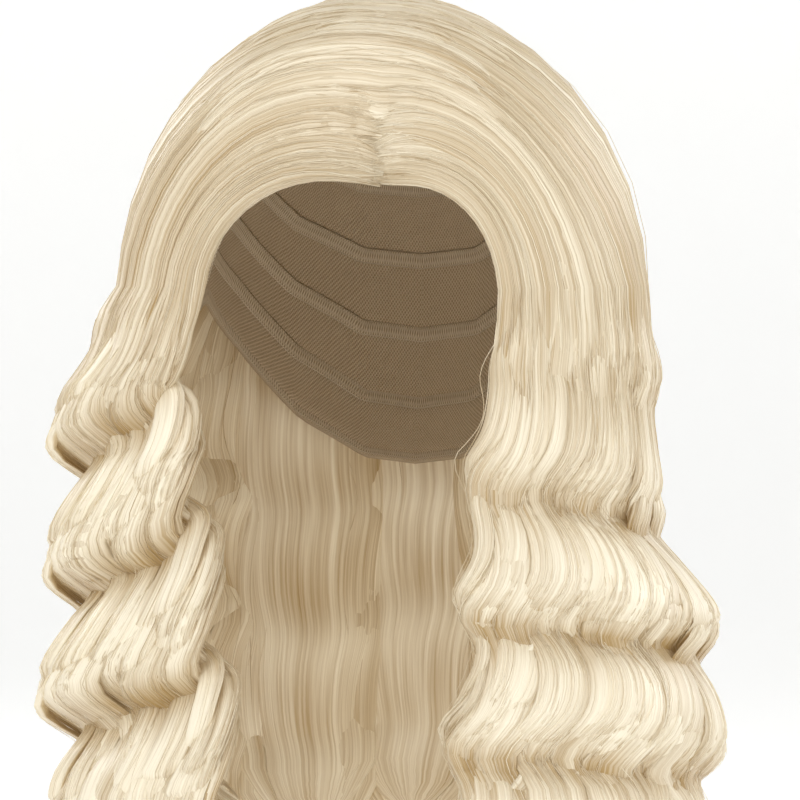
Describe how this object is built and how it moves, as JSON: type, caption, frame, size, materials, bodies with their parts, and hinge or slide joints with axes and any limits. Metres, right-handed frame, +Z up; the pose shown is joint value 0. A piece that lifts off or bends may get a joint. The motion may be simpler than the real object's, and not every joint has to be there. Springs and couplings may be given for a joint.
{
  "type": "long flapper wig",
  "caption": "Long wig of wavy locks on a hollow net cap, parted at the front, open over the face and falling to the chest and back.",
  "frame": {"origin": "top of the cap's hollow, where the crown of the head touches it", "axes": "+Z up, the face side looks to -Y, +X is the wearer's left"},
  "size_m": [0.2856, 0.2513, 0.3834],
  "materials": {
    "cap_net": "soft stretch net with sewn weft rows",
    "hair": "glossy pale blonde synthetic fibre in smooth waves"
  },
  "bodies": {
    "root": {"net_cap": "cap_net", "left_front_hair": "hair", "right_front_hair": "hair", "left_side_hair": "hair", "right_side_hair": "hair", "left_back_hair": "hair", "right_back_hair": "hair", "centre_hair": "hair", "nape_hair": "hair"}
  },
  "joints": []
}
